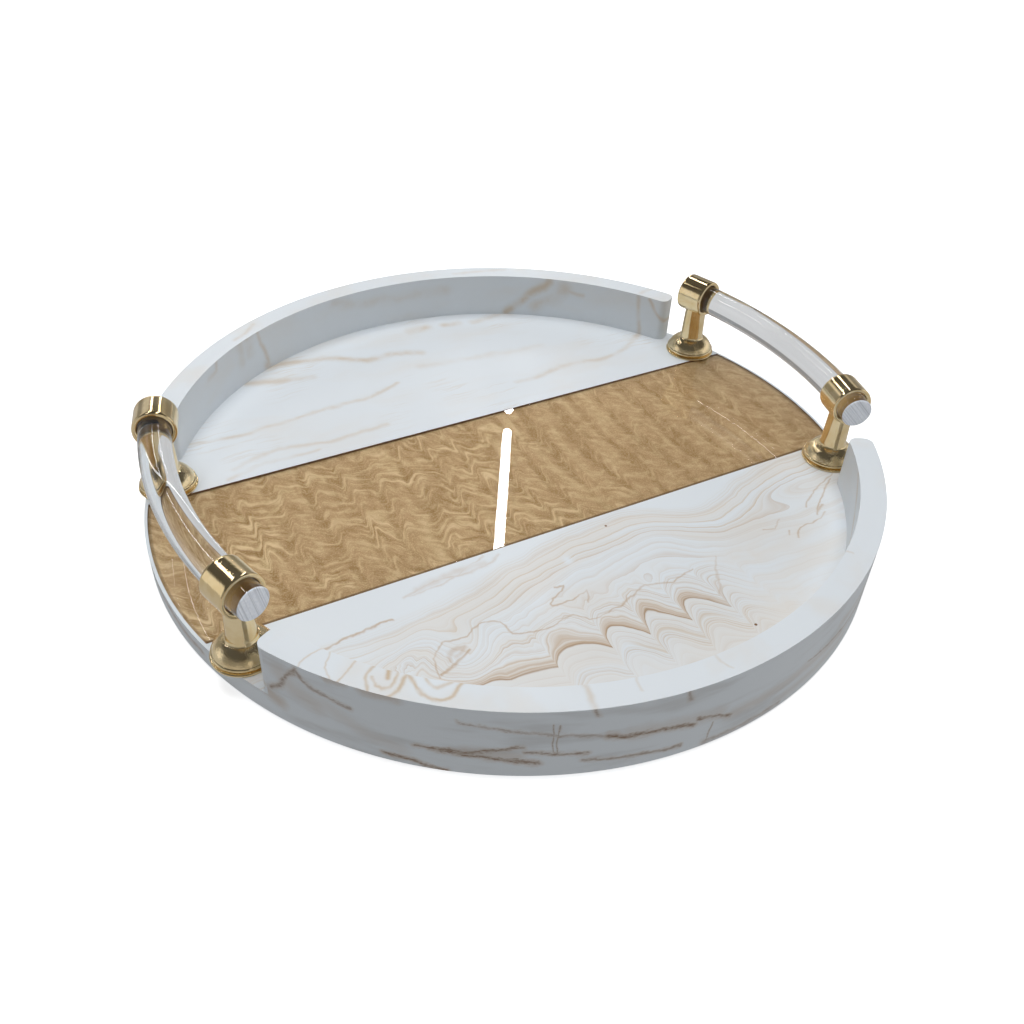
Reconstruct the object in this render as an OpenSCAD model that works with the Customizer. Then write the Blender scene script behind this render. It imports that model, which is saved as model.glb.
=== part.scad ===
// Round vanity tray: a cast resin tray with two raised rims, a pearl band poured across it,
// and a bent clear rod over each open side, held in brass collars on turned brass posts.
// X runs along the band, Y from front to back, Z up from the surface that the feet stand on.

/* [Tray] */
// Outer diameter of the tray
tray_d = 300; // [298:1:320]
// Thickness of the tray's floor
floor_t = 9.3; // [8.5:0.1:12]
// Height of the rim's top above the tray's underside
rim_h = 31; // [24:0.5:40]
// Width of the raised rim
rim_w = 10; // [8:0.5:12]
// Angle from the band's centre line to each end of a rim
rim_gap_angle = 28; // [27:0.5:34]
// Radius of the upright corners at the rim's ends
rim_corner_r = 3.5; // [1:0.5:3.5]
// Bevel along the rim's top edges
rim_bevel = 1; // [0.4:0.1:1.5]

/* [Pearl band] */
// Width of the band across the tray
band_w = 85; // [60:1:88]
// Thickness of the pearl pour
pearl_t = 1.5; // [1:0.1:1.8]
// Thickness of the clear coat that covers the pearl and comes up to the floor
clear_t = 1.5; // [0.5:0.1:1.8]
// White edge left at each end of the band
band_end_lip = 1.2; // [0.8:0.1:3]

/* [Handles] */
// Distance of each post from the tray's centre along the band
post_x = 132; // [131:0.5:133]
// Distance of each post from the band's centre line
post_y = 52; // [51:0.5:53]
// Diameter of the clear rod
rod_d = 12.7; // [11:0.1:13]
// Radius that the rod is bent to, along its middle
rod_bend_r = 185; // [150:5:260]
// Height of the rod's middle above the tray's floor
rod_lift = 30.7; // [29:0.1:40]
// Length of rod that stands out of the front collar
rod_front_overhang = 5; // [1:0.5:8]
// Outer diameter of the collar around the rod
collar_d = 17.2; // [17:0.1:18]
// Length of the collar
collar_l = 13; // [12:0.5:15]
// Bevel at the collar's rims
collar_bevel = 0.7; // [0.3:0.1:0.8]
// Gap between the rod and the collar's bore
rod_clearance = 0.25; // [0.2:0.05:0.3]
// Diameter of the stem where it meets the collar
stem_top_d = 9.8; // [9.4:0.1:10.4]
// Diameter of the stem where it stands on the rosette
stem_foot_d = 10.8; // [10.5:0.1:12]
// Diameter of the rosette at the foot of a post
rosette_d = 23.6; // [22:0.2:24]
// Height of the rosette
rosette_h = 8; // [7:0.5:10]

/* [Fasteners] */
// Thread diameter of the mounting and grub screws
screw_d = 4; // [3:1:4]
// Length of the mounting screw's shank
screw_l = 18; // [14:1:18]
// Length of the grub screw that grips the rod
grub_l = 8; // [6:1:8]
// Depth of the pocket for the screw head, from the underside
pocket_h = 4.5; // [4.2:0.1:5]

/* [Feet] */
// Diameter of a bumper foot
foot_d = 13; // [8:0.5:16]
// Height of a bumper foot
foot_h = 1.6; // [1:0.1:3]
// Distance of each foot from the tray's centre
foot_reach = 112; // [90:1:120]

/* [Hidden] */
$fn = 96;

// Small gap that lets a cutter pass through a face
over = 0.5;
tray_r = tray_d / 2;
rim_inner_r = tray_r - rim_w;
floor_z = foot_h + floor_t;
rim_z = foot_h + rim_h;
rod_r = rod_d / 2;
rod_z = floor_z + rod_lift;
recess_h = pearl_t + clear_t;

// The rod is an arc whose centre lies on the band's centre line.
// This is the angle from that line to a post.
post_bend_angle = asin(post_y / rod_bend_r);
bend_centre_x = post_x - rod_bend_r * cos(post_bend_angle);
collar_bore_r = rod_r + rod_clearance;
collar_r = collar_d / 2;

// The stem's spigots: one fills a hole in the collar's wall, the other the rosette's bore
top_spigot_r = 3.3;
foot_spigot_r = 3.8;
foot_spigot_gap = 0.3;
thread_r = screw_d / 2;
thread_gap = 0.05;

// Screw head, washer and socket sizes that follow the thread
head_r = screw_d * 0.95;
head_h = screw_d * 0.6;
socket_r = screw_d * 0.36;
socket_h = head_h * 0.55;
washer_r = screw_d * 1.08;
washer_t = 0.8;
washer_hole_r = thread_r + 0.2;
screw_hole_r = thread_r + 0.25;
pocket_r = washer_r + 0.4;
pocket_z = foot_h + pocket_h;
grub_top_gap = 0.05;
grub_socket_r = screw_d * 0.29;
grub_socket_h = 2.2;

// Rosette profile
flange_h = 1;
groove_h = 0.5;
groove_depth = 0.7;
bead_r = 0.7;

// Points of an arc, as [x, y] pairs, with both ends included
function arc(centre, radius, from, to, steps) = [
  for (i = [0 : steps])
    let (a = from + (to - from) * i / steps)
    [centre[0] + radius * cos(a), centre[1] + radius * sin(a)]
];

// Side is -1 for left or front and 1 for right or back
module at_post(side_x, side_y, z) {
  translate([side_x * post_x, side_y * post_y, z])
    children();
}

module at_every_post(z) {
  for (side_x = [-1, 1], side_y = [-1, 1])
    at_post(side_x, side_y, z) children();
}

// Turns a part that lies along Y so that it follows the rod at a post
module along_rod(side_x, side_y) {
  rotate([0, 0, side_x * side_y * post_bend_angle]) children();
}

// Cuts one upright corner of a rim's end to a round.
// Wall is +1 at the outer wall and -1 at the inner wall.
module rim_corner_cutter(wall) {
  wall_r = wall > 0 ? tray_r : rim_inner_r;
  centre_r = wall_r - wall * rim_corner_r;
  turn = asin(rim_corner_r / centre_r);
  centre_angle = rim_gap_angle + turn;
  centre = centre_r * [cos(centre_angle), sin(centre_angle)];
  along_end = centre_r * cos(turn);
  end_point = along_end * [cos(rim_gap_angle), sin(rim_gap_angle)];
  wall_point = wall_r * [cos(centre_angle), sin(centre_angle)];
  outside_r = wall_r + wall * over;
  outside_angle = rim_gap_angle - 0.3;
  outside = outside_r * [cos(outside_angle), sin(outside_angle)];
  difference() {
    polygon([centre, end_point, outside, wall_point]);
    translate(centre) circle(r = rim_corner_r);
  }
}

// Plan of the back rim; the front rim is its mirror image
module rim_plan() {
  reach = tray_d;
  difference() {
    circle(r = tray_r);
    circle(r = rim_inner_r);
    polygon([
      [0, 0],
      reach * [cos(rim_gap_angle), sin(rim_gap_angle)],
      [reach, -reach],
      [-reach, -reach],
      reach * [-cos(rim_gap_angle), sin(rim_gap_angle)]
    ]);
    for (side = [0, 1], wall = [-1, 1])
      mirror([side, 0]) rim_corner_cutter(wall);
  }
}

// Ring that takes the sharp edge off the top of the rim
module rim_bevel_cutter(wall) {
  wall_r = wall > 0 ? tray_r : rim_inner_r;
  rotate_extrude()
    polygon([
      [wall_r - wall * rim_bevel, rim_z],
      [wall_r - wall * (rim_bevel - over), rim_z + over],
      [wall_r + wall * over, rim_z + over],
      [wall_r + wall * over, rim_z - rim_bevel - over],
      [wall_r, rim_z - rim_bevel]
    ]);
}

module band_plan() {
  intersection() {
    circle(r = tray_r - band_end_lip);
    square([tray_d, band_w], center = true);
  }
}

module tray_body() {
  color("whitesmoke")
    difference() {
      union() {
        translate([0, 0, foot_h]) cylinder(h = floor_t, r = tray_r);
        for (side = [0, 1])
          mirror([0, side]) translate([0, 0, floor_z])
            linear_extrude(rim_h - floor_t) rim_plan();
      }
      for (wall = [-1, 1])
        rim_bevel_cutter(wall);
      translate([0, 0, floor_z - recess_h])
        linear_extrude(recess_h + over) band_plan();
      at_every_post(foot_h - over) {
        cylinder(h = floor_t + 2 * over, r = screw_hole_r);
        cylinder(h = pocket_h + over, r = pocket_r);
      }
    }
}

module pearl_inlay() {
  color("tan")
    translate([0, 0, floor_z - recess_h])
      linear_extrude(pearl_t) band_plan();
}

module clear_coat() {
  color([0.95, 0.9, 0.8, 0.35])
    translate([0, 0, floor_z - clear_t])
      linear_extrude(clear_t) band_plan();
}

// One bent rod. It ends level with the back collar and stands out of the front one.
module rod(side_x) {
  front_angle = post_bend_angle + (collar_l / 2 + rod_front_overhang) / rod_bend_r * 180 / PI;
  back_angle = post_bend_angle + collar_l / 2 / rod_bend_r * 180 / PI;
  color([0.85, 0.9, 0.95, 0.4])
    mirror([side_x < 0 ? 1 : 0, 0])
      translate([bend_centre_x, 0, rod_z])
        rotate([0, 0, -front_angle])
          rotate_extrude(angle = front_angle + back_angle)
            translate([rod_bend_r, 0]) circle(r = rod_r);
}

module rosette(side_x, side_y) {
  edge_r = rosette_d / 2;
  bead_z = flange_h + groove_h + bead_r;
  dome_z = bead_z + bead_r * 0.7;
  bead_x = edge_r - bead_r - 0.4;
  dome_foot_x = bead_x;
  shoulder_x = stem_foot_d / 2 + 0.1;
  dome_rise = rosette_h - dome_z;
  dome_run = dome_foot_x - shoulder_x;
  // Circle through the dome's foot and shoulder that bulges by a tenth of their distance
  chord = norm([dome_run, dome_rise]);
  bulge = chord / 10;
  dome_r = chord * chord / (8 * bulge) + bulge / 2;
  half_turn = asin(chord / 2 / dome_r);
  chord_angle = atan2(dome_run, dome_rise);
  dome_centre = [
    (dome_foot_x + shoulder_x) / 2 - (dome_r - bulge) * cos(chord_angle),
    (dome_z + rosette_h) / 2 - (dome_r - bulge) * sin(chord_angle)
  ];
  color("goldenrod")
    at_post(side_x, side_y, floor_z)
      rotate_extrude()
        polygon(concat(
          [[foot_spigot_r, 0], [edge_r - 0.2, 0], [edge_r, 0.2], [edge_r, flange_h - 0.2]],
          [[edge_r - 0.2, flange_h], [edge_r - groove_depth - 0.4, flange_h]],
          [[edge_r - groove_depth - 0.4, flange_h + groove_h]],
          arc([bead_x, bead_z], bead_r, -45, 60, 5),
          arc(dome_centre, dome_r, chord_angle - half_turn, chord_angle + half_turn, 8),
          [[foot_spigot_r, rosette_h]]
        ));
}

// The stem stands on the rosette and its saddle-shaped top fits the collar
module stem(side_x, side_y) {
  body_z = floor_z + rosette_h;
  color("goldenrod")
    difference() {
      at_post(side_x, side_y, 0) {
        rotate_extrude()
          polygon([
            [0, floor_z + foot_spigot_gap],
            [foot_spigot_r, floor_z + foot_spigot_gap],
            [foot_spigot_r, body_z],
            [stem_foot_d / 2, body_z],
            [stem_foot_d / 2, body_z + 0.8],
            [stem_top_d / 2, rod_z - collar_r],
            [stem_top_d / 2, rod_z - collar_r / 2],
            [0, rod_z - collar_r / 2]
          ]);
      }
      at_post(side_x, side_y, rod_z) along_rod(side_x, side_y)
        difference() {
          rotate([90, 0, 0]) cylinder(h = collar_l * 2, r = collar_r, center = true);
          translate([0, 0, -collar_r - over]) cylinder(h = collar_r, r = top_spigot_r);
        }
      at_post(side_x, side_y, rod_z) along_rod(side_x, side_y)
        rotate([90, 0, 0]) cylinder(h = collar_l * 2, r = collar_bore_r, center = true);
      at_post(side_x, side_y, floor_z) cylinder(h = rod_lift, r = thread_r);
    }
}

module collar(side_x, side_y) {
  half_l = collar_l / 2;
  color("gold")
    at_post(side_x, side_y, rod_z) along_rod(side_x, side_y)
      difference() {
        rotate([90, 0, 0])
          rotate_extrude()
            polygon([
              [collar_bore_r, -half_l + collar_bevel],
              [collar_bore_r + collar_bevel, -half_l],
              [collar_r - collar_bevel, -half_l],
              [collar_r, -half_l + collar_bevel],
              [collar_r, half_l - collar_bevel],
              [collar_r - collar_bevel, half_l],
              [collar_bore_r + collar_bevel, half_l],
              [collar_bore_r, half_l - collar_bevel]
            ]);
        translate([0, 0, -collar_r - over]) cylinder(h = collar_r, r = top_spigot_r);
      }
}

module rod_grub_screws() {
  top_z = rod_z - rod_r - grub_top_gap;
  color("dimgray")
    at_every_post(top_z - grub_l)
      difference() {
        cylinder(h = grub_l, r = thread_r - thread_gap);
        translate([0, 0, -over]) cylinder(h = grub_socket_h + over, r = grub_socket_r, $fn = 6);
      }
}

module mounting_screws() {
  under_head_z = pocket_z - washer_t;
  color("silver")
    at_every_post(under_head_z)
      difference() {
        union() {
          translate([0, 0, -head_h]) cylinder(h = head_h, r = head_r);
          cylinder(h = screw_l, r = thread_r - thread_gap);
        }
        translate([0, 0, -head_h - over]) cylinder(h = socket_h + over, r = socket_r, $fn = 6);
      }
}

module screw_washers() {
  color("silver")
    at_every_post(pocket_z - washer_t)
      difference() {
        cylinder(h = washer_t, r = washer_r);
        translate([0, 0, -over]) cylinder(h = washer_t + 2 * over, r = washer_hole_r);
      }
}

module bumper_feet() {
  color("gainsboro")
    for (turn = [45 : 90 : 315])
      rotate([0, 0, turn]) translate([foot_reach, 0, 0])
        cylinder(h = foot_h, r = foot_d / 2);
}

tray_body();
pearl_inlay();
clear_coat();
rod(-1);  // rod_left
rod(1);  // rod_right
rosette(-1, -1);  // rosette_front_left
rosette(-1, 1);  // rosette_back_left
rosette(1, -1);  // rosette_front_right
rosette(1, 1);  // rosette_back_right
stem(-1, -1);  // stem_front_left
stem(-1, 1);  // stem_back_left
stem(1, -1);  // stem_front_right
stem(1, 1);  // stem_back_right
collar(-1, -1);  // collar_front_left
collar(-1, 1);  // collar_back_left
collar(1, -1);  // collar_front_right
collar(1, 1);  // collar_back_right
rod_grub_screws();
mounting_screws();
screw_washers();
bumper_feet();
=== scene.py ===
import math

import bmesh
import bpy
from mathutils import Matrix, Vector

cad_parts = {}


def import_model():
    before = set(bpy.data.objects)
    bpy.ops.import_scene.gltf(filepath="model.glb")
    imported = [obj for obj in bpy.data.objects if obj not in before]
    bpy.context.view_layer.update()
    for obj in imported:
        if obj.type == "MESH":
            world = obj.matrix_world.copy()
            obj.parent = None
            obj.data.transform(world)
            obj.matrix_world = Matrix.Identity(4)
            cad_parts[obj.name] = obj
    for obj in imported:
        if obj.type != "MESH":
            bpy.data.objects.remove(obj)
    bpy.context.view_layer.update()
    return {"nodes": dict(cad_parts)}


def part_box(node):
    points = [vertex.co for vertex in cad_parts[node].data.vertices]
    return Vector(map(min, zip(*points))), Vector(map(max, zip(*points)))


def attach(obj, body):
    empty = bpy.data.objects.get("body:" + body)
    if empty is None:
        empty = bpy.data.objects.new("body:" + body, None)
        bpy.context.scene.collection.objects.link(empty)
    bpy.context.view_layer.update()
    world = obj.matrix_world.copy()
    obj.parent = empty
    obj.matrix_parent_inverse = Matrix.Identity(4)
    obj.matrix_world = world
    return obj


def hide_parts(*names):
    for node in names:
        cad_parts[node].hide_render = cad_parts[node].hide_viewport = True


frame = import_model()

MM = 0.001

# ---------------------------------------------------------------- sizes from the frame

tray_low, tray_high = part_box("tray_body")
_, coat_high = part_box("clear_coat")
pearl_low, pearl_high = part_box("pearl_inlay")
rod_low, rod_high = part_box("rod_right")
_, foot_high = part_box("bumper_feet")

TRAY_R = tray_high.x
UNDER_Z = tray_low.z
RIM_Z = tray_high.z
FLOOR_Z = coat_high.z
RECESS_Z = pearl_low.z
PEARL_Z = pearl_high.z
BAND_HALF = coat_high.y
BAND_END = coat_high.x
ROD_Z = (rod_low.z + rod_high.z) / 2
ROD_R = (rod_high.z - rod_low.z) / 2

# Sizes of the design that no node's box shows
RIM_WIDTH = 10 * MM
RIM_GAP_ANGLE = math.radians(28)
RIM_CORNER_R = 3.5 * MM
ROD_BEND_R = 185 * MM
COLLAR_LENGTH = 13 * MM
COLLAR_BORE_R = ROD_R + 0.25 * MM
ROD_OVERHANG = 5 * MM
STEM_TOP_R = 4.9 * MM
STEM_FOOT_R = 5.4 * MM
POCKET_R = 4.7 * MM
POCKET_DEPTH = 4.5 * MM
SCREW_HOLE_R = 2.25 * MM
POST_BORE_R = 3 * MM
FOOT_R = 6.5 * MM
FOOT_REACH = 112 * MM
FOOT_ROUND = 0.6 * MM

RIM_INNER_R = TRAY_R - RIM_WIDTH
SIDES = {"left": -1, "right": 1}
ENDS = {"front": -1, "back": 1}


def middle(node):
    low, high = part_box(node)
    return (low + high) / 2


# ---------------------------------------------------------------- node graphs

class Field:
    """A number that a material's nodes work out at each point, with plain arithmetic."""

    def __init__(self, graph, socket):
        self.graph = graph
        self.socket = socket

    def __add__(self, other):
        return self.graph.math("ADD", self, other)

    def __radd__(self, other):
        return self.graph.math("ADD", other, self)

    def __sub__(self, other):
        return self.graph.math("SUBTRACT", self, other)

    def __rsub__(self, other):
        return self.graph.math("SUBTRACT", other, self)

    def __mul__(self, other):
        return self.graph.math("MULTIPLY", self, other)

    def __rmul__(self, other):
        return self.graph.math("MULTIPLY", other, self)

    def __truediv__(self, other):
        return self.graph.math("DIVIDE", self, other)

    def __pow__(self, other):
        return self.graph.math("POWER", self, other)


class Graph:
    """Builds the nodes of one material, or of the world.

    Each node is made after the nodes that feed it, and only sockets of one kind are joined:
    the renderer works in that order, and runs out of room when too many values have to wait.
    """

    def __init__(self, name, world=False):
        self.material = (bpy.data.worlds if world else bpy.data.materials).new(name)
        self.material.use_nodes = True
        self.tree = self.material.node_tree
        self.tree.nodes.clear()
        kind = "ShaderNodeOutputWorld" if world else "ShaderNodeOutputMaterial"
        self.output = self.tree.nodes.new(kind)
        self.place = None

    def feed(self, socket, value):
        if isinstance(value, Field):
            self.tree.links.new(value.socket, socket)
        elif isinstance(value, bpy.types.NodeSocket):
            self.tree.links.new(value, socket)
        else:
            socket.default_value = value

    def math(self, operation, *values):
        node = self.tree.nodes.new("ShaderNodeMath")
        node.operation = operation
        for socket, value in zip(node.inputs, values):
            self.feed(socket, value)
        return Field(self, node.outputs[0])

    def xyz(self):
        """The point on the surface, in millimetres."""
        if self.place is None:
            coordinates = self.tree.nodes.new("ShaderNodeTexCoord")
            split = self.tree.nodes.new("ShaderNodeSeparateXYZ")
            self.feed(split.inputs[0], coordinates.outputs["Object"])
            self.place = [Field(self, socket) * (1 / MM) for socket in split.outputs]
        return self.place

    def vector(self, x, y, z=0.0):
        node = self.tree.nodes.new("ShaderNodeCombineXYZ")
        for socket, value in zip(node.inputs, (x, y, z)):
            self.feed(socket, value)
        return node.outputs[0]

    def vector_math(self, operation, *values):
        node = self.tree.nodes.new("ShaderNodeVectorMath")
        node.operation = operation
        for socket, value in zip(node.inputs, values):
            self.feed(socket, value)
        return [s for s in node.outputs if s.enabled][0]

    def noise(self, x, y, z=0.0, scale=1.0, detail=2.0, roughness=0.5):
        """Smooth noise from about 0 to 1, with features about 1 / scale across."""
        point = self.vector(x, y, z)
        node = self.tree.nodes.new("ShaderNodeTexNoise")
        self.feed(node.inputs["Vector"], point)
        node.inputs["Scale"].default_value = scale
        node.inputs["Detail"].default_value = detail
        node.inputs["Roughness"].default_value = roughness
        return Field(self, node.outputs["Fac"])

    def step_noise(self, value):
        """A random number from 0 to 1 that changes at each whole number of value."""
        whole = self.math("FLOOR", value)
        node = self.tree.nodes.new("ShaderNodeTexWhiteNoise")
        node.noise_dimensions = "1D"
        self.feed(node.inputs["W"], whole)
        return Field(self, node.outputs["Value"])

    def ramp(self, value, low, high, start=0.0, end=1.0):
        """Goes smoothly from start to end as value goes from low to high."""
        node = self.tree.nodes.new("ShaderNodeMapRange")
        node.interpolation_type = "SMOOTHSTEP"
        for socket, number in zip(node.inputs, (value, low, high, start, end)):
            self.feed(socket, number)
        return Field(self, node.outputs[0])

    def bump_at(self, value, centre, half_width):
        """1 where value is at centre, falling smoothly to 0 at half_width from it."""
        return self.ramp(self.math("ABSOLUTE", value - centre), 0.0, half_width, 1.0, 0.0)

    def mix(self, share, first, second):
        node = self.tree.nodes.new("ShaderNodeMix")
        node.data_type = "RGBA"
        node.clamp_factor = True
        sockets = [s for s in node.inputs if s.enabled]
        self.feed(sockets[0], share)
        for socket, colour in zip(sockets[1:], (first, second)):
            self.feed(socket, (*colour, 1.0) if isinstance(colour, tuple) else colour)
        return [s for s in node.outputs if s.enabled][0]

    def bump(self, height, distance, strength=1.0):
        node = self.tree.nodes.new("ShaderNodeBump")
        node.inputs["Strength"].default_value = strength
        node.inputs["Distance"].default_value = distance
        self.feed(node.inputs["Height"], height)
        return node.outputs[0]

    def principled(self, **inputs):
        node = self.tree.nodes.new("ShaderNodeBsdfPrincipled")
        for name, value in inputs.items():
            self.feed(node.inputs[name.replace("_", " ")], value)
        self.tree.links.new(node.outputs[0], self.output.inputs[0])
        return node

    def lets_lamps_through(self, shader, tint):
        """Lamps shine straight through the shader, so what is under it isn't black."""
        path = self.tree.nodes.new("ShaderNodeLightPath")
        clear = self.tree.nodes.new("ShaderNodeBsdfTransparent")
        clear.inputs[0].default_value = (*tint, 1.0)
        both = self.tree.nodes.new("ShaderNodeMixShader")
        self.feed(both.inputs[0], path.outputs["Is Shadow Ray"])
        self.feed(both.inputs[1], shader.outputs[0])
        self.feed(both.inputs[2], clear.outputs[0])
        self.tree.links.new(both.outputs[0], self.output.inputs[0])


def colour(red, green, blue):
    """An sRGB colour from 0 to 255, as the linear numbers that Blender takes."""
    def linear(value):
        value /= 255
        return value / 12.92 if value <= 0.04045 else ((value + 0.055) / 1.055) ** 2.4
    return tuple(linear(value) for value in (red, green, blue))


WHITE_RESIN = colour(221, 227, 232)
PEACH = colour(220, 217, 212)
TAN = colour(196, 172, 138)
BROWN = colour(178, 143, 99)
DARK_BROWN = colour(120, 86, 54)
GREY_VEIN = colour(176, 174, 172)


# ---------------------------------------------------------------- shapes that patterns are made of

def fold(g, phase):
    """A wave for each unit of phase: up steeply from a sharp trough, then down gently."""
    return g.math("SINE", g.math("FRACT", phase) ** 0.6 * math.pi)


def offset(x, y, centre):
    """How far the point is from a centre: across, up and straight."""
    across = x - centre[0]
    up = y - centre[1]
    return across, up, (across * across + up * up) ** 0.5


def swirl(g, x, y, centre, radius, turn):
    """Twists the plane about a point, most at its centre and not at all beyond the radius."""
    across, up, away = offset(x, y, centre)
    angle = g.ramp(away, 0.0, radius, turn, 0.0)
    cosine = g.math("COSINE", angle)
    sine = g.math("SINE", angle)
    return centre[0] + across * cosine - up * sine, centre[1] + across * sine + up * cosine


def line_distance(g, place, start, end):
    """How far the point is from the straight line between start and end."""
    start, end = Vector(start).to_3d(), Vector(end).to_3d()
    way = end - start
    along = g.vector_math("DOT_PRODUCT", place, way)
    travel = g.tree.nodes.new("ShaderNodeMapRange")
    for socket, value in zip(travel.inputs, (along, start.dot(way), end.dot(way))):
        g.feed(socket, value)
    share = travel.outputs[0]
    near_x = g.math("MULTIPLY_ADD", share, way.x, start.x)
    near_y = g.math("MULTIPLY_ADD", share, way.y, start.y)
    return Field(g, g.vector_math("DISTANCE", place, g.vector(near_x, near_y)))


def path_distance(g, place, points):
    """How far the point is from the nearest of the lines that join the points."""
    made = line_distance(g, place, points[0], points[1])
    for start, end in zip(points[1:], points[2:]):
        made = g.math("MINIMUM", made, line_distance(g, place, start, end))
    return made


def curved(points, cuts=2):
    """A smooth curve of straight pieces led through the points."""
    if len(points) < 4:
        return points
    ends = [Vector(point) for point in (points[0], *points, points[-1])]
    made = []
    for b, s, e, a in zip(ends, ends[1:], ends[2:], ends[3:]):
        for i in range(cuts):
            t = i / cuts
            bend = (b * 2 - s * 5 + e * 4 - a) * t ** 2 + (s * 3 - b - e * 3 + a) * t ** 3
            made.append((s * 2 + (e - b) * t + bend) / 2)
    return [*made, ends[-1]]


def vein(g, place, points, half_width):
    """1 on the path through the points, falling smoothly to 0 at half_width from it."""
    return g.ramp(path_distance(g, place, points), 0.0, half_width, 1.0, 0.0)


def degrees_round(g, x, y):
    """Degrees round from the right, from 0 to 360."""
    return g.math("ARCTAN2", 0.0 - y, 0.0 - x) * (180 / math.pi) + 180.0


def unrolled(rows, radius):
    """Rows of veins given in degrees and mm up, with the degrees turned into mm along the wall."""
    mm_each = math.radians(1) * radius / MM
    return [([(turn * mm_each, height) for turn, height in points], half_width, strength)
            for points, half_width, strength in rows]


def wobble(g, x, y, z, reach, scale, seed):
    """A smooth random shift of up to about reach either way."""
    return (g.noise(x, y, z + seed, scale=scale, detail=2) - 0.5) * (2.5 * reach)


def shaken(g, value, place, *shifts):
    """The value with smooth random shifts added, each given as (reach, scale, seed)."""
    for reach, scale, seed in shifts:
        value = value + wobble(g, *place, reach, scale, seed)
    return value


def between(g, value, out_low, in_low, in_high, out_high):
    """1 from in_low to in_high, falling smoothly to 0 at the outer limits."""
    return g.ramp(value, out_low, in_low) * g.ramp(value, out_high, in_high)


# ---------------------------------------------------------------- materials

def resin_finish(graph, base, x, y, z):
    """Satin surface shared by all the white resin."""
    fine = graph.noise(x, y, z, scale=1.6, detail=3)
    smear = graph.noise(x, y, z, scale=0.05, detail=2)
    graph.principled(
        Base_Color=base,
        Roughness=graph.ramp(smear, 0.3, 0.7, 0.34, 0.46),
        Specular_IOR_Level=0.35,
        Normal=graph.bump(fine, 0.02 * MM, 0.4),
    )
    return graph.material


def painted_veins(g, base, u, v, uneven, rows, shade):
    """Lays the rows' veins over the base colour, faint where uneven is low."""
    place = g.vector(u, v)
    made = None
    for points, half_width, strength in rows:
        mask = strength * vein(g, place, curved(points), 1.7 * half_width) ** 2
        made = mask if made is None else g.math("MAXIMUM", made, mask)
    return g.mix(made * uneven, base, shade)


# The folded ribbon of the front floor, in mm
RIBBON_LEVEL = -107.0
RIBBON_RISE = 7.0
FOLD_PITCH = 16.8
FOLD_RISE = 9.5


def knoll(g, x, y, centre, radius, height):
    """A smooth hill that turns the layers round it into rings."""
    _, _, away = offset(x, y, centre)
    return g.ramp(away, 0.0, radius, height, 0.0)


def front_strata(g, x, y):
    """Level of the resin layers in front of the band, in mm: each layer keeps one level."""
    plan = (x, y, 0.0)
    u = shaken(g, x, plan, (2.5, 0.03, 11.0), (0.9, 0.11, 12.0))
    v = shaken(g, y, plan, (3.0, 0.025, 13.0), (1.0, 0.09, 14.0))
    u, v = swirl(g, u, v, (-70.0, -85.0), 20.0, 1.3)
    u, v = swirl(g, u, v, (-92.0, -86.0), 12.0, -2.4)
    # Towards the band the layers climb to the right, dip and climb again
    height = g.ramp(v, -100.0, -62.0)
    crest = g.ramp(u, -95.0, 24.0, 0.0, 20.0) - g.ramp(u, 24.0, 62.0, 0.0, 12.0)
    crest = crest + g.ramp(u, 52.0, 112.0, 0.0, 15.0) * g.ramp(v, -76.0, -58.0)
    # Small crinkles behind the ribbon
    crinkled = between(g, v, -100.0, -92.0, -82.0, -74.0) * g.ramp(u, 40.0, 10.0)
    crinkle = crinkled * wobble(g, u, v * 0.4, 0.0, 5.0, 0.09, 15.0)
    # The ribbon's waves, which fade out behind it and in front of it
    folded = between(g, v, -130.0, -112.0, -96.0, -80.0)
    folded = folded * between(g, u, -64.0, -10.0, 40.0, 62.0)
    phase = (u + 0.4) / FOLD_PITCH + g.ramp(u, -17.0, -39.0, 0.0, 0.3)
    rise = crest * height + folded * fold(g, phase) * FOLD_RISE + crinkle
    rise = rise + g.ramp(u, -40.0, -76.0, 0.0, 8.0) * (1.0 - height)
    rise = rise - knoll(g, x, y, (-68.0, -84.0), 17.0, 9.0)
    return v - rise, u, v


def layer_lines(g, level, spacing, fade, seed):
    """Lines at random strengths, each with a sharp lower edge that fades upwards."""
    step = level / spacing + seed
    return (1.0 - g.math("FRACT", step)) ** fade * g.step_noise(step)


def spot(g, x, y, centre, radius):
    return g.ramp(knoll(g, x, y, centre, radius, 1.0), 0.3, 0.6)


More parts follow.
